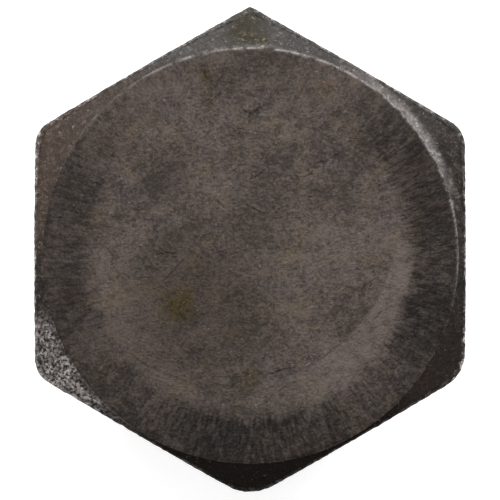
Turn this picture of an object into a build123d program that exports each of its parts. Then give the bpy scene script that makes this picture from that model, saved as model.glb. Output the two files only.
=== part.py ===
from build123d import *
import math
import os

# M20 x 2.5 x 100 hexagon bolt with its hexagon nut, spring lock washer and flat washer.
# Frame: origin at the centre of the head's bearing face, +Z through the head,
# +Y towards one corner of the hexagon. Millimetres.

# ---- thread ----
PITCH = 2.5
FLANK_TAN = math.tan(math.radians(30.0))

# ---- bolt ----
ACROSS_FLATS = 30.0
TURNED_RADIUS = 0.65 * ACROSS_FLATS
HEAD_HEIGHT = 12.5
HEAD_CORNER_RADIUS = 2.6
CROWN_FLAT_RADIUS = 11.2
CROWN_RIM_RADIUS = 14.4
CROWN_RIM_DROP = 0.28
HEAD_CHAMFER_DEG = 30.0
WASHER_FACE_RADIUS = 14.0
WASHER_FACE_HEIGHT = 0.5
UNDER_HEAD_FILLET = 0.8
SHANK_RADIUS = 10.0
SHANK_LENGTH = 54.0
SHANK_OVERLAP = 2.0
BOLT_LENGTH = 100.0
BOLT_END_CHAMFER = 1.6
BOLT_MAJOR_RADIUS = 9.8
BOLT_PITCH_RADIUS = 9.075
BOLT_MINOR_RADIUS = 8.44
THREAD_TOP_Z = -56.0
GROOVE_STRETCHES = (-105.0, -90.0, -75.0, THREAD_TOP_Z)

# ---- nut ----
NUT_BOTTOM_Z = -92.75
NUT_HEIGHT = 18.0
NUT_CORNER_RADIUS = 1.5
NUT_CHAMFER_RADIUS = 14.25
NUT_CHAMFER_DEG = 30.0
NUT_MAJOR_RADIUS = 10.1
NUT_PITCH_RADIUS = 9.31
NUT_MINOR_RADIUS = 8.75
COUNTERSINK_RADIUS = 10.8
TAP_OVERRUN = 2.0
TAP_LEAD_TURNS = 1

# ---- washers ----
STACK_GAP = 0.1
SPRING_INNER_RADIUS = 10.4
SPRING_WIDTH = 6.0
SPRING_THICKNESS = 4.0
SPRING_RISE = 4.0
SPRING_TURN_DEG = 350.0
FLAT_INNER_RADIUS = 11.0
FLAT_OUTER_RADIUS = 18.5
FLAT_THICKNESS = 3.0
FLAT_EDGE_RADIUS = 0.4

# ---- cutting ----
GROOVE_OVERCUT = 0.12
MIN_CUT_FRACTION = 0.9
TOUCH = 1e-6


def washer_stack_levels():
    """Heights of the spring washer's and the flat washer's lower faces."""
    spring_z = NUT_BOTTOM_Z + NUT_HEIGHT + STACK_GAP
    flat_z = spring_z + SPRING_THICKNESS + SPRING_RISE + STACK_GAP
    return spring_z, flat_z


def rounded_hexagon(across_flats, corner_radius):
    """Hexagon face with one corner towards +Y and rounded corners."""
    hexagon = RegularPolygon(across_flats / 2, 6, major_radius=False, rotation=30)
    return fillet(hexagon.vertices(), corner_radius)


def revolved(points):
    """Solid of revolution about Z of a closed profile given as (radius, height) pairs."""
    outline = Plane.XZ * Polygon(*points, align=None)
    return revolve(outline, axis=Axis.Z)


def rod(radius, low_z, height):
    """Round upright rod whose lower end is at low_z."""
    shape = Cylinder(radius, height, align=(Align.CENTER, Align.CENTER, Align.MIN))
    return Pos(0, 0, low_z) * shape


def groove_width(radius, pitch_radius):
    """Axial width of the thread groove at a radius, for a 60 degree thread."""
    return PITCH / 2 + 2 * (radius - pitch_radius) * FLANK_TAN


def thread_groove(major_radius, pitch_radius, minor_radius, start_z, height):
    """Right-hand helical groove that starts on the +X side, centred at start_z."""
    outer = major_radius + GROOVE_OVERCUT
    half_in = groove_width(minor_radius, pitch_radius) / 2
    half_out = groove_width(outer, pitch_radius) / 2
    section = Plane.XZ * Polygon(
        (minor_radius, start_z - half_in),
        (outer, start_z - half_out),
        (outer, start_z + half_out),
        (minor_radius, start_z + half_in),
        align=None,
    )
    path = Helix(pitch=PITCH, height=height, radius=minor_radius, center=(0, 0, start_z))
    return sweep(section, path=path, is_frenet=True)


def groove_volume(major_radius, pitch_radius, minor_radius, length):
    """Volume a groove should remove from a rod of the given length."""
    depth = major_radius - minor_radius
    middle = (major_radius + minor_radius) / 2
    width = groove_width(middle, pitch_radius)
    return 2 * math.pi * middle * depth * width * length / PITCH


def checked_cut(blank, threaded, expected):
    """The threaded solid, once the volume taken off the blank shows that the thread was cut."""
    removed = blank.volume - threaded.volume
    if not MIN_CUT_FRACTION * expected < removed < expected / MIN_CUT_FRACTION:
        raise ValueError(f"thread groove removed {removed:.1f}, expected {expected:.1f}")
    return threaded


def threaded_end():
    """Threaded end of the bolt with a little shank; the groove's stretches start whole turns apart."""
    core = rod(BOLT_MAJOR_RADIUS, -BOLT_LENGTH, BOLT_LENGTH - SHANK_LENGTH)
    core = chamfer(core.edges().sort_by(Axis.Z)[0], BOLT_END_CHAMFER)
    collar = rod(SHANK_RADIUS, -SHANK_LENGTH, SHANK_OVERLAP)
    radii = (BOLT_MAJOR_RADIUS, BOLT_PITCH_RADIUS, BOLT_MINOR_RADIUS)
    blank = core + collar
    threaded = blank
    for low_z, high_z in zip(GROOVE_STRETCHES, GROOVE_STRETCHES[1:]):
        threaded = threaded - thread_groove(*radii, low_z, high_z - low_z)
    return checked_cut(blank, threaded, groove_volume(*radii, THREAD_TOP_Z + BOLT_LENGTH))


def bolt_head():
    """Forged hexagon head: crowned top, 30 degree corner chamfer and washer face."""
    hexagon = rounded_hexagon(ACROSS_FLATS, HEAD_CORNER_RADIUS)
    prism = Pos(0, 0, WASHER_FACE_HEIGHT) * extrude(hexagon, HEAD_HEIGHT - WASHER_FACE_HEIGHT)
    rim_z = HEAD_HEIGHT - CROWN_RIM_DROP
    fall = (TURNED_RADIUS - CROWN_RIM_RADIUS) * math.tan(math.radians(HEAD_CHAMFER_DEG))
    crown = revolved(
        [
            (0, 0),
            (TURNED_RADIUS, 0),
            (TURNED_RADIUS, rim_z - fall),
            (CROWN_RIM_RADIUS, rim_z),
            (CROWN_FLAT_RADIUS, HEAD_HEIGHT),
            (0, HEAD_HEIGHT),
        ]
    )
    return (prism & crown) + rod(WASHER_FACE_RADIUS, 0, WASHER_FACE_HEIGHT)


def plain_shank():
    """Plain shank from the head down to the collar of the threaded end."""
    length = SHANK_LENGTH - SHANK_OVERLAP
    return rod(SHANK_RADIUS, -length, length)


def hex_bolt():
    """The whole bolt, one forged and rolled piece, with the fillet under its head."""
    body = bolt_head() + plain_shank()
    corner = body.edges().filter_by(GeomType.CIRCLE).filter_by(
        lambda edge: abs(edge.center().Z) < TOUCH and abs(edge.radius - SHANK_RADIUS) < TOUCH
    )
    body = fillet(corner, UNDER_HEAD_FILLET)
    return body + threaded_end()


def nut_blank():
    """Hexagon nut before tapping, chamfered on both faces, countersunk at both mouths."""
    hexagon = rounded_hexagon(ACROSS_FLATS, NUT_CORNER_RADIUS)
    prism = Pos(0, 0, NUT_BOTTOM_Z) * extrude(hexagon, NUT_HEIGHT)
    top_z = NUT_BOTTOM_Z + NUT_HEIGHT
    fall = (TURNED_RADIUS - NUT_CHAMFER_RADIUS) * math.tan(math.radians(NUT_CHAMFER_DEG))
    envelope = revolved(
        [
            (0, NUT_BOTTOM_Z),
            (NUT_CHAMFER_RADIUS, NUT_BOTTOM_Z),
            (TURNED_RADIUS, NUT_BOTTOM_Z + fall),
            (TURNED_RADIUS, top_z - fall),
            (NUT_CHAMFER_RADIUS, top_z),
            (0, top_z),
        ]
    )
    return prism & envelope


def countersink(face_z, direction):
    """Conical mouth of the tapped hole; direction is +1 for the top face, -1 for the bottom."""
    depth = COUNTERSINK_RADIUS * FLANK_TAN
    return revolved(
        [
            (0, face_z - direction * depth),
            (COUNTERSINK_RADIUS, face_z),
            (0, face_z),
        ]
    )


def thread_tap():
    """Solid shape of the nut's threaded hole, in step with the thread of the bolt."""
    low_z = NUT_BOTTOM_Z - TAP_OVERRUN
    length = NUT_HEIGHT + 2 * TAP_OVERRUN
    blank = Rot(0, 0, 180) * rod(NUT_MAJOR_RADIUS, low_z, length)
    start_z = PITCH * (math.floor(low_z / PITCH) - TAP_LEAD_TURNS)
    turns = math.ceil((low_z + length - start_z) / PITCH) + TAP_LEAD_TURNS
    radii = (NUT_MAJOR_RADIUS, NUT_PITCH_RADIUS, NUT_MINOR_RADIUS)
    threaded = blank - thread_groove(*radii, start_z, turns * PITCH)
    return checked_cut(blank, threaded, groove_volume(*radii, length))


def hex_nut():
    """The tapped hexagon nut."""
    top_z = NUT_BOTTOM_Z + NUT_HEIGHT
    nut = nut_blank() - thread_tap()
    nut = nut - countersink(top_z, 1)
    return nut - countersink(NUT_BOTTOM_Z, -1)


def spring_washer():
    """Split spring lock washer, coiled left-handed so its ends bite when the nut backs off."""
    level, _ = washer_stack_levels()
    pitch = SPRING_RISE * 360 / SPRING_TURN_DEG
    middle = SPRING_INNER_RADIUS + SPRING_WIDTH / 2
    path = Helix(
        pitch=pitch, height=SPRING_RISE, radius=middle, center=(0, 0, level), lefthand=True
    )
    section = Plane.XZ * Polygon(
        (SPRING_INNER_RADIUS, level),
        (SPRING_INNER_RADIUS + SPRING_WIDTH, level),
        (SPRING_INNER_RADIUS + SPRING_WIDTH, level + SPRING_THICKNESS),
        (SPRING_INNER_RADIUS, level + SPRING_THICKNESS),
        align=None,
    )
    return sweep(section, path=path, is_frenet=True)


def flat_washer():
    """Stamped flat washer with softened outer edges."""
    _, level = washer_stack_levels()
    disc = rod(FLAT_OUTER_RADIUS, level, FLAT_THICKNESS)
    disc = fillet(disc.edges().filter_by(GeomType.CIRCLE), FLAT_EDGE_RADIUS)
    return disc - rod(FLAT_INNER_RADIUS, level, FLAT_THICKNESS)


def main():
    """Build every piece and write one STEP file per piece."""
    os.makedirs("parts", exist_ok=True)
    export_step(hex_bolt(), "parts/hex_bolt.step")
    export_step(flat_washer(), "parts/flat_washer.step")
    export_step(spring_washer(), "parts/spring_washer.step")
    export_step(hex_nut(), "parts/hex_nut.step")


main()
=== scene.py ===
import math

import bpy
import numpy as np
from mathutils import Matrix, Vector, noise


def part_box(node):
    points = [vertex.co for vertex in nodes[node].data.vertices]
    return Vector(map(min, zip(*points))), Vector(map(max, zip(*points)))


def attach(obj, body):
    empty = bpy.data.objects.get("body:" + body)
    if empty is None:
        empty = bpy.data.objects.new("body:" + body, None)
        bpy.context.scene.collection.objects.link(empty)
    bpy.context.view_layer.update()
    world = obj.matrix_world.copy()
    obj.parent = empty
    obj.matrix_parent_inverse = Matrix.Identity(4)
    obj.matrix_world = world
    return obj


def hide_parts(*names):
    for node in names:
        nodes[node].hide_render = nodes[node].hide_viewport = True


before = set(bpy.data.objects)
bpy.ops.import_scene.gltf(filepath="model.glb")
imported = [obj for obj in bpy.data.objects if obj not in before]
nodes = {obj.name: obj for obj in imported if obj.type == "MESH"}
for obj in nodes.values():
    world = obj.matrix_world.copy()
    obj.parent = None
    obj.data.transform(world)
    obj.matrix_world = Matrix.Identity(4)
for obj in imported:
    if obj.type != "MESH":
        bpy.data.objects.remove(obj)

MM = 0.001
bolt_low, bolt_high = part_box("hex_bolt")

# ---- hexagon head, millimetres; corner i lies between flats i and i + 1 ----
FLAT_ANGLES = (0, 60, 120, 180, 240, 300)
FLAT_APOTHEMS = (15.0, 14.9, 14.9, 15.0, 14.88, 14.88)
CORNER_RADII = (1.9, 0.35, 1.9, 1.7, 3.1, 2.7)
HEAD_TOP = round(bolt_high.z / MM, 3)
TOP_FINISH = HEAD_TOP - 3.2          # the top's colours and marks begin at about this height
EDGE_ROUNDING = 0.22                 # between the chamfer and the sides, on average
CROWN_CENTRE = (0.03, -0.2)
RIM_RADIUS = 14.43
CROWN_BREAK = 11.4                   # inside this radius the crown is flat but for the forging
CROWN_SLOPE = math.tan(math.radians(5.0))
CHAMFER_ANGLE = math.radians(30.0)
CHAMFER_SLOPE = math.tan(CHAMFER_ANGLE)
HEAD_COLUMNS = 720

# ---- the thin lighter patch on the crown, millimetres ----
PATCH_CENTRE = (-1.5, 2.5)
PATCH_RADIUS = 11.75                 # the patch lies outside this radius

# ---- under the head, millimetres ----
WASHER_FACE = 14.0
WASHER_FACE_DEPTH = 0.5
WASHER_FACE_MIDDLE = 12.4
FOOT_ROUNDING = 0.35
SHANK = 10.0
FILLET = 0.8
BODY_COLUMNS = 144                   # HEAD_COLUMNS is a multiple of this

# ---- thread, millimetres ----
PITCH = 2.5
SHANK_END = -54.0
THREAD_TOP = -56.0
THREAD_FADE = PITCH
BOLT_END = round(bolt_low.z / MM, 3)
END_CHAMFER = 1.6
MAJOR = 9.8
MINOR = 8.44
CREST_HALF = 0.206
ROOT_HALF = 0.258
FLANK = PITCH / 2 - CREST_HALF - ROOT_HALF
RIDGE_PHASE = PITCH / 2

# ---- picture, metres ----
CAMERA_HEIGHT = 0.25                 # above the head's top
PICTURE_WIDTH = 0.03464              # what the picture shows from side to side at that height
PICTURE_RISE = 0.00017               # the picture's middle lies this far above the head's, in +Y
FLOOR_HALF = 1.5
SOFT_EDGE = 0.4 * MM


# ---------------------------------------------------------------- helpers

def fbm(x, y, z, octaves=4):
    """Smooth deterministic noise about zero."""
    return noise.fractal(Vector((x, y, z)), 1.0, 2.0, octaves)


def soft_step(x, width):
    """Integral of a smooth step from 0 to 1 at x = 0."""
    return width * np.logaddexp(0.0, np.asarray(x) / width)


def smooth(x, low, high):
    t = np.clip((np.asarray(x, float) - low) / (high - low), 0.0, 1.0)
    return t * t * (3 - 2 * t)


def mesh_object(name, points, faces, wear):
    """A mesh in the frame's metres from points in millimetres, with its edge wear as an attribute."""
    mesh = bpy.data.meshes.new(name)
    mesh.from_pydata((np.asarray(points) * MM).tolist(), [], faces)
    for column, layer_name in enumerate(("rim_wear", "edge_wear")):
        layer = mesh.attributes.new(layer_name, "FLOAT", "POINT")
        layer.data.foreach_set("value", np.ascontiguousarray(wear[:, column], np.float32))
    mesh.shade_smooth()
    mesh.validate()
    mesh.update()
    obj = bpy.data.objects.new(name, mesh)
    bpy.context.scene.collection.objects.link(obj)
    return obj


def ring_faces(first, second):
    """Quads between two closed rings of equal length."""
    after_first, after_second = (*first[1:], first[0]), (*second[1:], second[0])
    return list(zip(first, second, after_second, after_first))


class Rings:
    """Closed rings of points round the axis, each with its rim wear and its edge wear."""

    def __init__(self, columns):
        self.angles = np.arange(columns) * 2 * math.pi / columns
        self.unit = np.stack([np.cos(self.angles), np.sin(self.angles)], axis=1)
        self.points, self.wear = [], []

    def out(self, radius):
        """The point at a radius in each column's direction."""
        return np.broadcast_to(radius, len(self.unit))[:, None] * self.unit

    def add(self, xy, z, rim=0.0, rub=0.0):
        self.points.append(np.column_stack([xy, np.broadcast_to(z, len(xy))]))
        self.wear.append(np.tile((rim, rub), (len(xy), 1)))


class Surface:
    """Points, wear and faces of one closed surface, collected part by part."""

    def __init__(self):
        self.points, self.wear, self.faces = [], [], []
        self.count = 0

    def take(self, points, wear):
        """Add points and return their numbers."""
        self.points.append(points)
        self.wear.append(wear)
        self.count += len(points)
        return range(self.count - len(points), self.count)

    def take_rings(self, rings):
        """Add rings, join each to the next, and return the numbers of the first and the last."""
        ids = [self.take(points, wear) for points, wear in zip(rings.points, rings.wear)]
        for ring, following in zip(ids, ids[1:]):
            self.faces += ring_faces(ring, following)
        return ids[0], ids[-1]

    def take_grid(self, grid, wear):
        """Add columns of points, join each to the next, and return their numbers."""
        ids = np.array(self.take(grid.reshape(-1, 3), wear.reshape(-1, 2))).reshape(grid.shape[:2])
        for left, right in zip(ids, ids[1:]):
            self.faces += zip(left, right, right[1:], left[1:])
        return ids

    def join_finer(self, fine, coarse):
        """Triangles between a ring and one with fewer columns."""
        ratio = len(fine) // len(coarse)
        for j, low in enumerate(coarse):
            following = coarse[(j + 1) % len(coarse)]
            for s in range(ratio):
                a, b = fine[j * ratio + s], fine[(j * ratio + s + 1) % len(fine)]
                self.faces.append((a, low if s <= ratio // 2 else following, b))
                if s == ratio // 2:
                    self.faces.append((b, low, following))

    def fan(self, centre, ring):
        """Triangles between a point and a closed ring round it."""
        self.faces += [(centre, a, b) for a, b in zip(ring, (*ring[1:], ring[0]))]


# ---------------------------------------------------------------- hexagon outline

def hexagon_radius(angles, apothems, radii):
    """Distance from the axis to a rounded hexagon's outline at each angle."""
    count = len(apothems)
    pts = []
    for i in range(count):
        k = (i + 1) % count
        a, b = math.radians(FLAT_ANGLES[i]), math.radians(FLAT_ANGLES[i] + 60)
        rho = radii[i]
        system = np.array([[math.cos(a), math.sin(a)], [math.cos(b), math.sin(b)]])
        centre = np.linalg.solve(system, np.array([apothems[i] - rho, apothems[k] - rho]))
        for t in np.linspace(a, b, 25):
            pts.append(centre + rho * np.array([math.cos(t), math.sin(t)]))
    pts = np.array(pts)
    dense = []
    for p, q in zip(pts, np.roll(pts, -1, axis=0)):
        steps = max(2, int(np.linalg.norm(q - p) / 0.05))
        dense.append(p + (q - p) * np.linspace(0, 1, steps, endpoint=False)[:, None])
    dense = np.concatenate(dense)
    phi = np.arctan2(dense[:, 1], dense[:, 0])
    order = np.argsort(phi)
    phi, rad = phi[order], np.hypot(dense[:, 0], dense[:, 1])[order]
    wrapped = np.mod(angles + math.pi, 2 * math.pi) - math.pi
    return np.interp(wrapped, phi, rad, period=2 * math.pi)


def angle_noise(angles, radius, scale, seed):
    """Noise that runs round a circle without a seam."""
    reach = radius * scale
    return np.array([fbm(reach * math.cos(a), reach * math.sin(a), seed, 3) for a in angles])


# ---------------------------------------------------------------- the bolt's head

def crown_height(x, y):
    """Height of the turned crown and its chamfer, from the centre outwards."""
    dx, dy = x - CROWN_CENTRE[0], y - CROWN_CENTRE[1]
    r = np.hypot(dx, dy)
    upper_right = smooth((0.72 * dx + 0.69 * dy) / np.maximum(r, 0.1), 0.80, 0.98)
    width = 0.10 + 0.14 * upper_right
    drop = CROWN_SLOPE * soft_step(r - CROWN_BREAK, 0.35)
    drop = drop + (CHAMFER_SLOPE - CROWN_SLOPE) * soft_step(r - RIM_RADIUS, width)
    return HEAD_TOP - drop


def crescent(x, y):
    """1 inside the thin raised patch near the lower right edge of the crown."""
    wobble = 0.35 * fbm(x * 0.45, y * 0.45, 7.3, 4)
    inner = np.hypot(x - PATCH_CENTRE[0], y - PATCH_CENTRE[1]) - PATCH_RADIUS + wobble
    outer = CROWN_BREAK - np.hypot(x, y - CROWN_CENTRE[1]) + wobble
    return float(smooth(inner, -0.06, 0.08) * smooth(outer, -0.5, 0.6) * smooth(-y, -1.2, 0.4))


def forging(x, y):
    """Small unevenness of the forged crown, millimetres."""
    broad = 0.07 * fbm(x * 0.11, y * 0.11, 3.1, 3)
    fine = 0.022 * fbm(x * 0.7, y * 0.7, 9.7, 4)
    return broad + fine + 0.035 * crescent(x, y)


def surface_height(xy):
    """Height of the head's top at each point."""
    return crown_height(xy[:, 0], xy[:, 1]) + np.array([forging(x, y) for x, y in xy])


def crown_rings(rings):
    """Rings over the crown, denser at its rim; returns the rim's points."""
    near_rim = (0.968, 0.978, 0.986, 0.993, 1.0)
    for t in (*np.linspace(0.02, 0.955, 40), *near_rim):
        xy = np.array(CROWN_CENTRE) * t + RIM_RADIUS * t * rings.unit
        rings.add(xy, surface_height(xy), rim=np.interp(t, near_rim, (0.0, 0.0, 0.15, 0.5, 1.0)))
    return xy


def chamfer_rings(rings, rim, last):
    """Rings over the chamfer, between the crown's rim and the head's edge."""
    for t in (0.03, 0.08, 0.16, 0.27, 0.40, 0.54, 0.68, 0.82, 0.92):
        xy = rim * (1 - t) + last * t
        rings.add(xy, surface_height(xy), max(0.0, 0.8 - 5 * t), max(0.0, 6 * t - 5.1))


def edge_rings(rings, edge, rounding, top):
    """Rings round the head's edge; returns the heights where the sides begin."""
    side_top = top - rounding * math.cos(CHAMFER_ANGLE)
    for degrees in (30, 45, 60, 75, 90):
        beta = math.radians(degrees)
        xy = rings.out(edge - rounding + rounding * math.sin(beta))
        rings.add(xy, side_top + rounding * math.cos(beta), rub=1.0 if 30 < degrees < 90 else 0.7)
    return side_top


def side_rings(rings, edge, body, top):
    """Rings down the six sides; the edge's nicks die out in the upper third."""
    low = WASHER_FACE_DEPTH + FOOT_ROUNDING
    for t in (0.03, 0.08, 0.15, 0.25, 0.36, 0.47, 0.58, 0.69, 0.80, 0.90, 0.97):
        z = top * (1 - t) + low * t
        bumps = np.array([0.03 * fbm(u[0] * 4, u[1] * 4, zz * 0.3, 3) for u, zz in zip(rings.unit, z)])
        radius = edge * max(0, 1 - 3 * t) + body * min(1, 3 * t) + bumps
        rings.add(rings.out(radius), z, rub=0.2 if t < 0.05 else 0.0)


def foot_rings(rings, body):
    """Rings round the head's lower edge and over the washer face, to the fillet."""
    for degrees in (20, 55, 90):
        beta = math.radians(degrees)
        xy = rings.out(body - FOOT_ROUNDING * (1 - math.cos(beta)))
        z = WASHER_FACE_DEPTH + FOOT_ROUNDING * (1 - math.sin(beta))
        rings.add(xy, z, rub=0.5 if degrees < 90 else 0.1)
    face = np.minimum(WASHER_FACE, body - 0.6)
    rings.add(rings.out(np.minimum(WASHER_FACE + 0.15, body - 0.45)), WASHER_FACE_DEPTH)
    rings.add(rings.out(face), 0.08, rub=0.5)
    rings.add(rings.out(face - 0.1), 0.0, rub=0.5)
    rings.add(rings.out(WASHER_FACE_MIDDLE), 0.0, rub=0.1)
    rings.add(rings.out(SHANK + FILLET), 0.0)


def head_rings():
    """Rings of points over the head, from the crown's centre round to the fillet under it."""
    rings = Rings(HEAD_COLUMNS)
    outline = hexagon_radius(rings.angles, FLAT_APOTHEMS, CORNER_RADII)
    worn = angle_noise(rings.angles, 15, 0.4, 2.2)
    nicks = angle_noise(rings.angles, 15, 3.1, 5.8)
    edge = outline + 0.025 * worn + 0.04 * nicks
    body = outline + 0.02 * worn
    rounding = np.clip(EDGE_ROUNDING + 0.10 * worn, 0.1, 0.4)
    last = rings.out(edge - 0.5 * rounding)
    chamfer_rings(rings, crown_rings(rings), last)
    side_top = edge_rings(rings, edge, rounding, surface_height(last))
    side_rings(rings, edge, body, side_top)
    foot_rings(rings, body)
    return rings


# ---------------------------------------------------------------- the bolt's shank and thread

def shank_rings():
    """Rings down the plain shank, from the fillet to the start of the thread."""
    rings = Rings(BODY_COLUMNS)

    def add(radius, z, rub=0.0):
        bumps = np.array([0.02 * fbm(u[0] * 3, u[1] * 3, z * 0.2, 4) for u in rings.unit])
        rings.add(rings.out(radius + bumps), z, rub=rub)

    for degrees in (0, 22, 45, 67, 90):
        beta = math.radians(degrees)
        add(SHANK + FILLET * (1 - math.sin(beta)), -FILLET * (1 - math.cos(beta)))
    for z in np.linspace(-2.0, SHANK_END + 0.4, 34):
        add(SHANK, z)
    add(SHANK, SHANK_END + 0.12, rub=0.4)
    return rings


def from_ridge(offset):
    """Distance along the axis to the middle of the nearest ridge."""
    return np.abs(np.mod(offset + PITCH / 2, PITCH) - PITCH / 2)


def thread_radius(offset):
    """Radius of the 60 degree thread at an axial offset from a ridge's middle."""
    depth = np.clip((from_ridge(offset) - CREST_HALF) / FLANK, 0, 1)
    return MAJOR + (MINOR - MAJOR) * depth


def thread_rows():
    """Heights of the points along one column, every turn alike, over the whole thread and a bit more."""
    crest = np.array((-CREST_HALF, 0.0, CREST_HALF))
    root = PITCH / 2 + np.array((-ROOT_HALF, 0.0, ROOT_HALF))
    flank = FLANK * np.array((1, 2)) / 3
    one_turn = np.concatenate([crest, CREST_HALF + flank, root, root[-1] + flank])
    turns = int((SHANK_END - BOLT_END) / PITCH) + 3
    lowest = BOLT_END - PITCH * 1.5
    first_ridge = lowest + (RIDGE_PHASE - lowest) % PITCH - PITCH
    return first_ridge + np.concatenate([one_turn + PITCH * k for k in range(turns)])


def thread_grid():
    """Columns of points that follow the helix; the last column closes on the first, one turn up."""
    rows = thread_rows()
    columns, wear = [], []
    for j in range(BODY_COLUMNS + 1):
        angle = 2 * math.pi * j / BODY_COLUMNS
        rise = PITCH * j / BODY_COLUMNS
        z = np.clip(rows + rise, BOLT_END, SHANK_END)
        phase = z - (RIDGE_PHASE + rise)
        cut = smooth(THREAD_TOP - z, 0.0, THREAD_FADE)
        r = MAJOR + (thread_radius(phase) - MAJOR) * cut
        r = np.minimum(r, MAJOR - END_CHAMFER + (z - BOLT_END))
        crest = (from_ridge(phase) < 0.97 * CREST_HALF) & (z < THREAD_TOP)
        columns.append(np.column_stack([r * math.cos(angle), r * math.sin(angle), z]))
        wear.append(np.column_stack([np.zeros(len(z)), crest * 0.7]))
    return np.array(columns), np.array(wear)


def weld(points, faces, wear, distance=1e-4):
    """Merge points closer than distance (mm) and drop faces that collapse."""
    keys = np.round(points / distance / 4).astype(np.int64)
    _, first, inverse = np.unique(keys, axis=0, return_index=True, return_inverse=True)
    inverse = inverse.reshape(-1)
    kept = []
    for face in faces:
        ids = []
        for v in face:
            k = int(inverse[v])
            if k not in ids:
                ids.append(k)
        if len(ids) > 2:
            kept.append(tuple(ids))
    return points[first], kept, wear[first]


def bolt_mesh():
    """The whole bolt as one closed surface."""
    surface = Surface()
    head = head_rings()
    head_start, head_end = surface.take_rings(head)
    shank_start, shank_end = surface.take_rings(shank_rings())
    ends = np.array([[0, 0, head.points[0][:, 2].mean()], [0, 0, BOLT_END]])
    top_centre, end_centre = surface.take(ends, np.zeros((2, 2)))
    thread = surface.take_grid(*thread_grid())
    surface.fan(top_centre, head_start)
    surface.join_finer(head_end, shank_start)
    for j in range(BODY_COLUMNS):
        left, right = thread[j], thread[j + 1]
        surface.faces.append((shank_end[j], left[-1], right[-1], shank_end[(j + 1) % BODY_COLUMNS]))
        surface.faces.append((end_centre, right[0], left[0]))
    return weld(np.concatenate(surface.points), surface.faces, np.concatenate(surface.wear))


def build_bolt():
    """The bolt as one object."""
    points, faces, wear = bolt_mesh()
    return mesh_object("forged_hex_bolt", points, faces, wear)


# ---------------------------------------------------------------- materials

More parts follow.
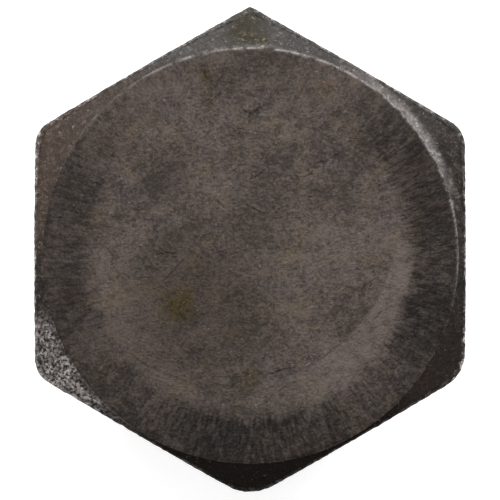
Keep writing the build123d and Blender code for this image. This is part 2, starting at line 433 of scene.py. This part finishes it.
class Nodes:
    """Short hand for building a node material; lengths are in millimetres."""

    def __init__(self, name):
        self.material = bpy.data.materials.new(name)
        self.material.use_nodes = True
        self.tree = self.material.node_tree
        self.shader = self.tree.nodes["Principled BSDF"]
        coords = self.tree.nodes.new("ShaderNodeTexCoord")
        self.mm = self.vector("SCALE", coords.outputs["Object"], scale=1000.0)
        split = self.tree.nodes.new("ShaderNodeSeparateXYZ")
        self.tree.links.new(self.mm, split.inputs[0])
        self.x, self.y, self.z = split.outputs

    def put(self, value, socket):
        if isinstance(value, bpy.types.NodeSocket):
            self.tree.links.new(value, socket)
        else:
            socket.default_value = value

    def math(self, kind, a, b=0.0):
        n = self.tree.nodes.new("ShaderNodeMath")
        n.operation = kind
        self.put(a, n.inputs[0])
        self.put(b, n.inputs[1])
        return n.outputs[0]

    def chain(self, kind, values):
        """One operation over all values, from left to right."""
        result = values[0]
        for value in values[1:]:
            result = self.math(kind, result, value)
        return result

    def product(self, *values):
        return self.chain("MULTIPLY", values)

    def total(self, *values):
        return self.chain("ADD", values)

    def largest(self, *values):
        return self.chain("MAXIMUM", values)

    def centred(self, value):
        """A noise about zero instead of a half."""
        return self.math("SUBTRACT", value, 0.5)

    def vector(self, kind, a, b=None, scale=None):
        n = self.tree.nodes.new("ShaderNodeVectorMath")
        n.operation = kind
        self.put(a, n.inputs[0])
        if b is not None:
            self.put(b, n.inputs[1])
        if scale is not None:
            self.put(scale, n.inputs["Scale"])
        return n.outputs["Value" if kind in ("LENGTH", "DOT_PRODUCT") else "Vector"]

    def combine(self, x, y, z):
        n = self.tree.nodes.new("ShaderNodeCombineXYZ")
        for value, socket in zip((x, y, z), n.inputs):
            self.put(value, socket)
        return n.outputs[0]

    def noise(self, where, scale, detail=4.0, rough=0.55):
        n = self.tree.nodes.new("ShaderNodeTexNoise")
        self.put(where, n.inputs["Vector"])
        n.inputs["Scale"].default_value = scale
        n.inputs["Detail"].default_value = detail
        n.inputs["Roughness"].default_value = rough
        return n.outputs["Fac"]

    def noise_vector(self, where, scale):
        """Three noises about zero."""
        n = self.tree.nodes.new("ShaderNodeTexNoise")
        self.put(where, n.inputs["Vector"])
        n.inputs["Scale"].default_value = scale
        n.inputs["Detail"].default_value = 3.0
        return self.vector("SUBTRACT", n.outputs["Color"], (0.5, 0.5, 0.5))

    def ramp(self, value, low, high, out_low=0.0, out_high=1.0):
        n = self.tree.nodes.new("ShaderNodeMapRange")
        n.interpolation_type = "SMOOTHSTEP"
        self.put(value, n.inputs["Value"])
        limits = {"From Min": low, "From Max": high, "To Min": out_low, "To Max": out_high}
        for text, limit in limits.items():
            self.put(limit, n.inputs[text])
        return n.outputs["Result"]

    def mix(self, factor, a, b):
        n = self.tree.nodes.new("ShaderNodeMix")
        n.data_type = "RGBA"
        self.put(factor, n.inputs["Factor"])
        for value, name in ((a, "A"), (b, "B")):
            socket = [s for s in n.inputs if s.name == name and s.type == "RGBA"][0]
            self.put(value if isinstance(value, bpy.types.NodeSocket) else (*value, 1.0), socket)
        return [s for s in n.outputs if s.type == "RGBA"][0]

    def attribute(self, name):
        n = self.tree.nodes.new("ShaderNodeAttribute")
        n.attribute_name = name
        return n.outputs["Fac"]

    def bump(self, height, strength, distance, normal=None):
        n = self.tree.nodes.new("ShaderNodeBump")
        n.inputs["Strength"].default_value = strength
        n.inputs["Distance"].default_value = distance
        self.put(height, n.inputs["Height"])
        if normal is not None:
            self.put(normal, n.inputs["Normal"])
        return n.outputs["Normal"]

    def soft_edges(self, radius):
        """Normal rounded at the edges, and a mask that is 1 on those edges."""
        bevel = self.tree.nodes.new("ShaderNodeBevel")
        bevel.samples = 6
        bevel.inputs["Radius"].default_value = radius
        flat = self.tree.nodes.new("ShaderNodeNewGeometry")
        alike = self.vector("DOT_PRODUCT", bevel.outputs["Normal"], flat.outputs["Normal"])
        return bevel.outputs["Normal"], self.ramp(alike, 0.99, 0.90)

    def mark(self, where, x, y, degrees, length, width):
        """1 inside a short mark on the crown, fading to 0 at its edge."""
        n = self.tree.nodes.new("ShaderNodeMapping")
        n.vector_type = "TEXTURE"
        self.put(where, n.inputs["Vector"])
        n.inputs["Location"].default_value = (x, y, HEAD_TOP)
        n.inputs["Rotation"].default_value = (0.0, 0.0, math.radians(degrees))
        n.inputs["Scale"].default_value = (length, width, 3.0)
        return self.ramp(self.vector("LENGTH", n.outputs["Vector"]), 0.3, 1.0, 1.0, 0.0)

    def distance_to(self, x, y):
        """Distance in the plan view from a point, millimetres."""
        dx = self.math("SUBTRACT", self.x, x)
        dy = self.math("SUBTRACT", self.y, y)
        return self.math("SQRT", self.total(self.product(dx, dx), self.product(dy, dy)))

    def spot(self, x, y, inner, outer, wobble=None):
        """1 near a point in the plan view, fading to 0."""
        d = self.distance_to(x, y)
        if wobble is not None:
            d = self.math("ADD", d, wobble)
        return self.ramp(d, inner, outer, 1.0, 0.0)

    def tinted(self, factor, colour, tint):
        """The colour multiplied by a tint where factor is 1, so its grain stays."""
        return self.mix(factor, colour, self.vector("MULTIPLY", colour, tint))


# ---- linear colours ----
SCALE_LIGHT = (0.093, 0.0725, 0.0615)
SCALE_DARK = (0.026, 0.0205, 0.0175)
BARE = (0.30, 0.28, 0.27)
GLINT = (0.66, 0.60, 0.575)
# painted light: the lighter, bluish colour of the upper chamfers
PAINTED_LIGHT_BLUISH = (0.122, 0.113, 0.108)
# brown of the left chamfer, painted lighter where it faces the light
BROWN_WITH_PAINTED_LIGHT = (0.124, 0.088, 0.070)
# near black: painted shade on the bottom chamfer, also used in the chamfers' dark pits
NEAR_BLACK = (0.006, 0.004, 0.0025)
# painted shade of the lower right chamfer
SHADE = (0.030, 0.018, 0.014)
PATCH = (0.104, 0.084, 0.074)

# ---- tints that multiply the scale's colour ----
RING = (0.30, 0.29, 0.29)
OLIVE = (0.80, 0.72, 0.26)
RUST = (2.2, 0.75, 0.35)
DULL = (0.52, 0.49, 0.42)
DARK_BROWN = (0.48, 0.38, 0.34)
DARK_GREY = (0.45, 0.45, 0.46)
MURKY = (0.52, 0.46, 0.24)
YELLOWER = (1.02, 0.98, 0.72)
BLUER = (0.93, 0.98, 1.10)

# ---- places on the head, millimetres ----
TOP_CORNER = (-0.4, 15.4)
TOP_CORNER_HEART = (1.1, 14.7)
ROUGH_CORNER = (-12.9, -8.0)
WORN_CORNER = (14.0, -6.8)

# short marks on the crown, millimetres: x, y, direction in degrees, half length, half width
MARKS = (
    (-3.2, 12.7, 70, 0.65, 0.30),
    (0.05, 9.3, 85, 0.60, 0.13),
    (-0.4, 9.8, 135, 0.55, 0.12),
    (0.5, 9.85, 45, 0.50, 0.12),
    (4.9, 6.1, 28, 0.95, 0.17),
    (4.1, 5.3, 20, 0.60, 0.14),
    (5.9, 6.6, 35, 0.45, 0.15),
    (-0.7, 5.9, 35, 0.70, 0.14),
    (0.5, 5.3, 30, 0.80, 0.13),
    (-2.1, 3.3, 150, 0.60, 0.15),
    (-2.6, 5.3, 110, 0.50, 0.15),
    (0.4, 3.0, 150, 0.60, 0.12),
    (-5.9, -0.1, 3, 1.20, 0.10),
    (-5.2, -1.2, 47, 1.10, 0.12),
    (8.2, -2.2, 40, 1.00, 0.10),
    (8.9, -4.4, 50, 0.55, 0.15),
    (4.1, -7.5, 80, 0.40, 0.16),
    (2.0, -8.3, 20, 0.90, 0.16),
    (-1.3, -9.3, 60, 0.30, 0.20),
    (-8.0, 2.0, 80, 0.45, 0.12),
)

# stains on the head: x, y, radius of the full stain, radius where it ends, millimetres; tint; strength
STAINS = (
    (-4.4, -4.4, 3.0, 7.0, DULL, 0.62),
    (0.8, 1.2, 0.0, 5.0, DULL, 0.22),
    (-5.0, -3.6, 0.0, 2.0, OLIVE, 1.0),
    (-3.9, -4.4, 0.0, 1.1, DARK_GREY, 0.6),
    (-6.2, 5.4, 0.3, 2.6, DARK_GREY, 0.35),
    (-12.4, -2.9, 0.2, 1.6, DARK_BROWN, 0.7),
    (-3.2, 12.6, 0.0, 0.60, MURKY, 1.0),
    (-2.3, 12.6, 0.0, 0.40, MURKY, 0.7),
    (11.2, 6.0, 0.4, 2.2, DARK_BROWN, 0.45),
    (12.2, 2.8, 0.4, 2.2, DARK_BROWN, 0.45),
    (5.6, 11.7, -0.3, 0.10, RUST, 0.30),
    (12.6, 3.1, -0.3, 0.26, RUST, 0.6),
    (10.6, 8.0, -0.3, 0.26, RUST, 0.45),
    (-0.2, -8.7, 0.2, 1.2, OLIVE, 0.4),
    (11.5, 1.6, 0.2, 1.6, OLIVE, 0.35),
)


class BoltNodes(Nodes):
    """Nodes of the bolt's material: its colour so far, and masks from 0 to 1 for places on its head."""

    def __init__(self, name):
        super().__init__(name)
        self.middle = self.noise(self.mm, 1.3, 6.0, 0.72)
        self.grain = self.noise(self.mm, 5.0, 2.0, 0.6)
        self.fleck = self.ramp(self.noise(self.mm, 3.4, 4.0, 0.7), 0.36, 0.62)
        self.mottle = self.ramp(self.noise(self.mm, 1.3, 5.0, 0.7), 0.40, 0.60)
        self.wobble = self.product(self.centred(self.noise(self.mm, 0.5, 5.0, 0.6)), 3.0)

        # place in the plan view: distance from the crown's centre, and direction
        self.r = self.distance_to(*CROWN_CENTRE)
        self.ux = self.math("DIVIDE", self.x, self.r)
        self.uy = self.math("DIVIDE", self.y, self.r)
        self.streak = self.radial_streaks()
        drag = self.product(self.centred(self.streak), 1.2)
        self.ragged = self.total(self.r, drag, self.product(self.wobble, 0.8))

        self.on_top = self.ramp(self.z, TOP_FINISH - 0.3, TOP_FINISH + 0.3)
        inside = self.ramp(self.r, RIM_RADIUS - 0.05, RIM_RADIUS + 0.05, 1.0, 0.0)
        self.crown = self.product(self.on_top, inside)
        self.chamfer = self.math("SUBTRACT", self.on_top, self.crown)
        self.ring = self.product(self.crown, self.ramp(self.ragged, 10.3, 12.1))
        self.scars = self.product(marks(self), self.on_top)
        # painted shade: mask of the bottom chamfer, which faces away from the light
        self.painted_shade_below = self.product(self.chamfer, self.upwards(-0.6, -0.85), self.sideways(-0.62, -0.4))
        lower_left = self.product(self.sideways(-0.50, -0.66), self.upwards(-0.24, -0.36))
        self.rough_corner = self.product(self.chamfer, lower_left)
        self.colour = self.scale_colour()

    def sideways(self, start, full):
        """0 to 1 between two directions across the head, from -1 at the left to 1 at the right."""
        return self.ramp(self.ux, start, full)

    def upwards(self, start, full):
        """0 to 1 between two directions up the head, from -1 at the bottom to 1 at the top."""
        return self.ramp(self.uy, start, full)

    def radial_streaks(self):
        """Fine drag lines that run outwards from the crown's centre."""
        round_it = (self.product(self.ux, 52.0), self.product(self.uy, 52.0))
        where = self.combine(*round_it, self.product(self.r, 0.9))
        return self.noise(where, 1.0, 4.0, 0.65)

    def scale_colour(self):
        """Mottled forging scale, before the marks of the head are laid on it."""
        broad = self.noise(self.mm, 0.20, 4.0, 0.55)
        parts = (self.product(broad, 0.27), self.product(self.middle, 0.33), self.product(self.grain, 0.27))
        colour = self.mix(self.ramp(self.total(*parts), 0.34, 0.54), SCALE_DARK, SCALE_LIGHT)
        elsewhere = self.vector("ADD", self.mm, (3.0, 41.0, 9.0))
        sparkle = self.ramp(self.noise(elsewhere, 5.5, 2.0, 0.5), 0.67, 0.75, 0.0, 0.28)
        colour = self.mix(sparkle, colour, BARE)
        elsewhere = self.vector("ADD", self.mm, (31.0, 17.0, 5.0))
        drift = self.noise(elsewhere, 0.45, 6.0, 0.72)
        colour = self.tinted(self.ramp(drift, 0.50, 0.66, 0.0, 0.55), colour, YELLOWER)
        return self.tinted(self.ramp(drift, 0.48, 0.36, 0.0, 0.6), colour, BLUER)

    def paint(self, mask, colour):
        """Lay a colour over the colour so far, where the mask is 1."""
        self.colour = self.mix(mask, self.colour, colour)

    def stain(self, mask, tint):
        """Multiply the colour so far by a tint, where the mask is 1."""
        self.colour = self.tinted(mask, self.colour, tint)


def marks(g):
    """All short marks together, slightly bent."""
    bend = g.vector("SCALE", g.noise_vector(g.mm, 1.6), scale=0.55)
    where = g.vector("ADD", g.mm, bend)
    return g.largest(*(g.mark(where, *mark) for mark in MARKS))


def lay_drag_ring_and_shade(g):
    """Darker ring with drag lines; its darkening is partly painted shade, strongest at the right, the
    bottom and the left.
    """
    right, bottom = g.sideways(0.45, 0.95), g.upwards(-0.45, -0.95)
    left = g.sideways(-0.55, -0.98)
    # painted shade: the ring darkens more away from the top, where its slope turns from the light
    amount = g.largest(right, bottom, g.product(left, 0.70))
    amount = g.total(g.product(amount, 0.68), 0.32)
    lower_right = g.product(g.sideways(0.35, 0.6), g.upwards(-0.35, -0.6))
    amount = g.math("SUBTRACT", amount, g.product(lower_right, 0.30))
    lower_left = g.product(g.sideways(-0.2, -0.6), g.upwards(-0.25, -0.6))
    calm = g.ramp(lower_left, 0.0, 1.0, 1.0, 0.72)
    streaky = g.ramp(g.streak, 0.34, 0.66, 0.62, 1.25)
    patchy = g.ramp(g.middle, 0.3, 0.65, 1.08, 0.84)
    g.stain(g.product(g.ring, amount, streaky, calm, patchy), RING)

    strokes = g.product(g.ramp(g.streak, 0.50, 0.64), g.largest(right, bottom), g.crown)
    where_it_begins = g.product(g.ramp(g.r, 10.9, 11.9), g.ramp(g.r, 12.3, 14.2, 1.0, 0.25))
    g.stain(g.product(strokes, where_it_begins, 0.6), RING)


def lay_thin_patch(g):
    """Thin lighter patch inside the lower right of the ring, with a dark line round it."""
    reach = g.total(g.distance_to(*PATCH_CENTRE), g.product(g.wobble, 0.25))
    lower = g.product(g.crown, g.upwards(0.12, -0.02))
    outer = g.ramp(g.ragged, 10.5, 12.0, 1.0, 0.0)
    inner = g.ramp(reach, PATCH_RADIUS - 0.10, PATCH_RADIUS + 0.05)
    uneven = g.product(g.ramp(g.ux, -0.1, 0.85, 0.12, 0.8), g.ramp(g.middle, 0.35, 0.6, 0.35, 0.9))
    g.paint(g.product(lower, inner, outer, uneven), PATCH)

    rise = g.ramp(reach, PATCH_RADIUS - 0.13, PATCH_RADIUS - 0.01)
    fall = g.ramp(reach, PATCH_RADIUS - 0.01, PATCH_RADIUS + 0.15, 1.0, 0.0)
    line = g.product(lower, rise, fall, g.ramp(g.ragged, 11.0, 12.0, 1.0, 0.0), g.ramp(g.middle, 0.35, 0.6))
    g.stain(g.product(line, 0.6), RING)


def lay_stains(g):
    """Stains on the crown, and its scars a little darker."""
    uneven = g.product(g.on_top, g.ramp(g.middle, 0.36, 0.58, 0.45, 1.15))
    for x, y, full, end, tint, strength in STAINS:
        g.stain(g.product(g.spot(x, y, full, end, g.wobble), uneven, strength), tint)
    g.stain(g.product(g.scars, 0.12), RING)


def lay_chamfer_light_and_shade(g):
    """Painted light and shade on the chamfers: lighter bluish upper corners, a brown one at the left that
    is painted lighter too, and painted shade, dark to nearly black, on the lower ones.
    """
    # painted light on the upper chamfers
    g.paint(g.product(g.chamfer, g.upwards(0.3, 0.7), g.ramp(g.uy, 0.75, 0.97, 0.45, 0.95)), PAINTED_LIGHT_BLUISH)
    # brown on the left chamfer, partly painted light
    g.paint(g.product(g.chamfer, g.sideways(-0.35, -0.85), g.upwards(-0.1, 0.2), 0.85), BROWN_WITH_PAINTED_LIGHT)
    # painted shade on the lower right chamfer
    g.paint(g.product(g.chamfer, g.upwards(-0.15, -0.45), g.sideways(0.25, 0.6), 0.9), SHADE)
    # painted shade: the bottom chamfer nearly black
    g.paint(g.product(g.painted_shade_below, 0.96), NEAR_BLACK)


def lay_rough_corner_and_glints(g):
    """Rough lower left corner with bright flecks of bare steel, painted as glints; returns the flecks'
    mask.
    """
    g.stain(g.product(g.rough_corner, 0.8), DARK_BROWN)
    flecks = g.ramp(g.noise(g.mm, 5.0, 3.0, 0.65), 0.38, 0.60)
    in_clusters = g.ramp(g.mottle, 0.0, 1.0, 0.65, 1.0)
    in_the_middle = g.ramp(g.spot(*ROUGH_CORNER, 1.6, 5.2, g.wobble), 0.0, 1.0, 0.45, 1.0)
    off_the_rim = g.ramp(g.r, RIM_RADIUS, RIM_RADIUS + 0.5, 0.5, 1.0)
    glitter = g.product(g.rough_corner, flecks, in_clusters, in_the_middle, off_the_rim)
    # painted glints: the flecks take a glint's colour
    g.paint(glitter, GLINT)
    return glitter


def lay_painted_upper_right_highlight(g):
    """Painted highlight: a bright band just outside the rim, at the upper right."""
    upper_right = g.product(g.chamfer, g.sideways(0.35, 0.75), g.upwards(0.15, 0.45))
    band = g.ramp(g.r, RIM_RADIUS + 0.75, RIM_RADIUS + 0.2)
    uneven = g.ramp(g.middle, 0.30, 0.60, 0.45, 1.0)
    # painted highlight along the rim at the upper right
    g.paint(g.product(upper_right, band, uneven, 0.55), GLINT)


def lay_top_corner_stains(g):
    """Murky stain with an olive heart on the corner that points up."""
    g.stain(g.product(g.spot(*TOP_CORNER, 0.2, 2.3, g.wobble), g.chamfer, 0.75), MURKY)
    g.stain(g.product(g.spot(*TOP_CORNER_HEART, 0.0, 0.8, g.wobble), g.chamfer), OLIVE)


def lay_chamfer_pits_and_glints(g):
    """Dark pits, darker towards the bottom, a darker band beside the edge, and bright specks on the
    chamfers, painted as glints that grow towards the top.
    """
    raised = g.product(g.fleck, g.ramp(g.mottle, 0.0, 1.0, 0.25, 1.0))
    pits = g.product(g.chamfer, g.math("SUBTRACT", 1.0, raised))
    g.paint(g.product(pits, g.ramp(g.uy, 0.3, 0.9, 0.6, 0.35)), NEAR_BLACK)
    rubbed = g.attribute("edge_wear")
    beside_edge = g.product(g.ramp(rubbed, 0.0, 0.15), g.ramp(rubbed, 0.25, 0.5, 1.0, 0.0))
    g.stain(g.product(beside_edge, g.chamfer, g.ramp(g.mottle, 0.0, 1.0, 0.8, 0.3)), RING)
    specks = g.ramp(g.noise(g.mm, 4.5, 3.0, 0.6), 0.62, 0.72, 0.0, 0.3)
    towards_top = g.ramp(g.total(g.uy, g.product(g.ux, -0.4)), -0.75, 0.0, 0.35, 1.0)
    # painted glints: the specks brighten towards the top
    g.paint(g.product(g.chamfer, specks, towards_top), GLINT)


def lay_worn_edges_and_glints(g):
    """Rim and outer edge rubbed to bare steel, partly painted highlight: the rim brightest towards the top,
    the outer edge towards the top, the left and a corner at the lower right; returns their mask.
    """
    towards_top = g.total(g.product(g.uy, 0.85), g.product(g.ux, 0.35))
    patchy = g.ramp(g.noise(g.mm, 1.5, 6.0, 0.8), 0.40, 0.60, 0.05, 1.0)
    rim = g.product(g.ramp(g.attribute("rim_wear"), 0.0, 1.0), g.ramp(towards_top, -0.1, 0.75, 0.0, 0.8))
    rim = g.product(rim, patchy, g.ramp(g.ux, -0.6, -0.1, 0.55, 1.0))

    upper = g.ramp(towards_top, -0.9, 0.3, 0.25, 0.75)
    left = g.ramp(g.ux, -0.45, -0.9, 0.0, 0.45)
    worn_corner = g.product(g.spot(*WORN_CORNER, 0.6, 3.4), 0.7)
    broken = g.ramp(g.noise(g.mm, 2.6, 6.0, 0.8), 0.44, 0.60)
    clusters = g.ramp(g.noise(g.mm, 0.8, 4.0, 0.7), 0.42, 0.56, 0.2, 1.0)
    amount = g.product(g.total(upper, left, worn_corner), broken, clusters)
    outer = g.product(g.ramp(g.attribute("edge_wear"), 0.1, 0.8), amount)
    edge = g.math("MINIMUM", g.largest(rim, outer), 1.0)
    # worn bare steel, painted as highlights where the edges face the light
    g.paint(edge, g.mix(g.ramp(outer, 0.3, 0.9), BARE, GLINT))
    return edge


def set_gloss(g, bare):
    """Scale that is half metal, and smoother bare steel."""
    g.put(g.total(g.product(bare, 0.15), 0.65), g.shader.inputs["Metallic"])
    # less specular under the bottom chamfer's painted shade, so that it stays dark
    g.put(g.ramp(g.painted_shade_below, 0.0, 1.0, 0.3, 0.1), g.shader.inputs["Specular IOR Level"])
    rough = g.math("SUBTRACT", 0.56, g.product(bare, 0.22))
    g.put(g.total(rough, g.product(g.centred(g.middle), 0.25)), g.shader.inputs["Roughness"])


def set_relief(g):
    """Pits, grain, scars, drag lines and the rough corner, as bumps; depths in millimetres."""
    pits = g.ramp(g.noise(g.mm, 1.9, 4.0, 0.6), 0.24, 0.42)
    coarse = g.product(g.noise(g.mm, 2.6, 4.0, 0.65), g.rough_corner)
    normal = None
    for height, strength, depth in (
        (pits, 0.22, 0.15),
        (g.middle, 0.35, 0.35),
        (g.math("SUBTRACT", 1.0, g.scars), 0.5, 0.12),
        (g.grain, 0.5, 0.12),
        (g.product(g.fleck, g.chamfer), 0.6, 0.30),
        (g.product(g.streak, g.ring), 0.30, 0.15),
        (coarse, 0.8, 0.50),
    ):
        normal = g.bump(height, strength, depth * MM, normal)
    g.put(normal, g.shader.inputs["Normal"])


def bolt_material():
    """Forging scale with the marks of the photographed head, and worn edges."""
    g = BoltNodes("bolt_scale")
    # the chamfers get painted light and shade, and the rim, edges and rough corner get painted highlights
    lay_drag_ring_and_shade(g)
    lay_thin_patch(g)
    lay_stains(g)
    lay_chamfer_light_and_shade(g)
    glitter = lay_rough_corner_and_glints(g)
    lay_painted_upper_right_highlight(g)
    lay_top_corner_stains(g)
    lay_chamfer_pits_and_glints(g)
    edge = lay_worn_edges_and_glints(g)
    g.put(g.colour, g.shader.inputs["Base Color"])
    set_gloss(g, g.largest(edge, glitter))
    set_relief(g)
    return g.material


def plain_steel(name, light, dark, speck, metallic, roughness):
    """Dull steel for the nut and washers: mottled, grainy, with specks and edges rubbed bright."""
    g = Nodes(name)
    broad = g.noise(g.mm, 0.35, 5.0, 0.6)
    middle = g.noise(g.mm, 1.2, 6.0, 0.7)
    grain = g.noise(g.mm, 4.5, 3.0, 0.6)
    blend = g.total(g.product(broad, 0.4), g.product(middle, 0.3), g.product(grain, 0.3))
    colour = g.mix(g.ramp(blend, 0.40, 0.60), dark, light)
    spots = g.ramp(g.noise(g.mm, 1.1, 6.0, 0.7), 0.62, 0.72)
    colour = g.mix(g.product(spots, 0.6), colour, speck)
    soft, edge = g.soft_edges(SOFT_EDGE)
    edge = g.product(edge, g.ramp(middle, 0.38, 0.58, 0.1, 0.9))
    g.put(g.mix(edge, colour, BARE), g.shader.inputs["Base Color"])
    g.shader.inputs["Metallic"].default_value = metallic
    rough = g.ramp(broad, 0.2, 0.8, roughness - 0.08, roughness + 0.1)
    g.put(g.math("SUBTRACT", rough, g.product(edge, 0.15)), g.shader.inputs["Roughness"])
    normal = g.bump(middle, 0.4, 0.2 * MM, soft)
    g.put(g.bump(grain, 0.4, 0.1 * MM, normal), g.shader.inputs["Normal"])
    return g.material


def nut_material():
    """Brownish scale like the bolt's."""
    return plain_steel("nut_scale", light=(0.115, 0.095, 0.083), dark=(0.05, 0.041, 0.035),
                       speck=(0.09, 0.05, 0.03), metallic=0.65, roughness=0.52)


def flat_washer_material():
    """Lighter stamped steel."""
    return plain_steel("washer_steel", light=(0.17, 0.155, 0.145), dark=(0.08, 0.07, 0.062),
                       speck=(0.10, 0.06, 0.035), metallic=0.75, roughness=0.42)


def spring_washer_material():
    """Dark, slightly blue spring steel."""
    return plain_steel("spring_steel", light=(0.07, 0.066, 0.065), dark=(0.03, 0.028, 0.028),
                       speck=(0.05, 0.04, 0.035), metallic=0.7, roughness=0.38)


def dress(obj, material):
    obj.data.materials.clear()
    obj.data.materials.append(material)


# ---------------------------------------------------------------- stage

def floor(z):
    """Pale floor at a height, bright enough to look white in the picture."""
    mesh = bpy.data.meshes.new("floor")
    s = FLOOR_HALF
    mesh.from_pydata([(-s, -s, z), (s, -s, z), (s, s, z), (-s, s, z)], [], [(0, 1, 2, 3)])
    obj = bpy.data.objects.new("floor", mesh)
    bpy.context.scene.collection.objects.link(obj)
    material = bpy.data.materials.new("floor")
    material.use_nodes = True
    shader = material.node_tree.nodes["Principled BSDF"]
    shader.inputs["Base Color"].default_value = (0.9, 0.9, 0.9, 1.0)
    shader.inputs["Roughness"].default_value = 0.9
    shader.inputs["Specular IOR Level"].default_value = 0.0
    shader.inputs["Emission Color"].default_value = (1.0, 1.0, 1.0, 1.0)
    shader.inputs["Emission Strength"].default_value = 0.45
    mesh.materials.append(material)
    return obj


def area_light(name, place, aim, size, power):
    """A soft rectangular light that points at aim."""
    data = bpy.data.lights.new(name, "AREA")
    data.shape = "RECTANGLE"
    data.size, data.size_y = size
    data.energy = power
    obj = bpy.data.objects.new(name, data)
    obj.location = place
    direction = Vector(aim) - Vector(place)
    obj.rotation_euler = direction.to_track_quat("-Z", "Y").to_euler()
    bpy.context.scene.collection.objects.link(obj)
    return obj


def studio(target):
    """Soft light from above, with more of it from the top of the picture."""
    world = bpy.data.worlds.new("studio")
    world.use_nodes = True
    background = world.node_tree.nodes["Background"]
    background.inputs["Color"].default_value = (1.0, 1.0, 1.0, 1.0)
    background.inputs["Strength"].default_value = 0.22
    bpy.context.scene.world = world
    area_light("key", (0.12, 0.55, target[2] + 0.42), target, (0.55, 0.45), 5.6)
    area_light("top", (-0.02, 0.12, target[2] + 0.75), target, (0.5, 0.5), 4.2)
    area_light("side", (-0.6, 0.0, target[2] + 0.28), target, (0.35, 0.3), 1.3)
    scene = bpy.context.scene
    scene.view_settings.view_transform = "Standard"
    scene.view_settings.look = "None"
    scene.view_settings.exposure = 0.0
    scene.view_settings.gamma = 1.0


def camera(target, distance, width):
    """Looks straight down on the head, +Y up in the picture."""
    data = bpy.data.cameras.new("camera")
    data.sensor_width = 36.0
    data.lens = 36.0 * distance / width
    data.clip_start = 0.01
    data.clip_end = 10.0
    obj = bpy.data.objects.new("camera", data)
    obj.location = (target[0], target[1], target[2] + distance)
    bpy.context.scene.collection.objects.link(obj)
    bpy.context.scene.camera = obj
    return obj


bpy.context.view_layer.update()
bolt = build_bolt()
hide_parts("hex_bolt")
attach(bolt, "bolt")
dress(bolt, bolt_material())
dress(nodes["hex_nut"], nut_material())
dress(nodes["flat_washer"], flat_washer_material())
dress(nodes["spring_washer"], spring_washer_material())
floor(bolt_low.z)
middle = (bolt_low + bolt_high) / 2
head_centre = (middle.x, middle.y + PICTURE_RISE, bolt_high.z)
studio(head_centre)
camera(head_centre, CAMERA_HEIGHT, PICTURE_WIDTH)
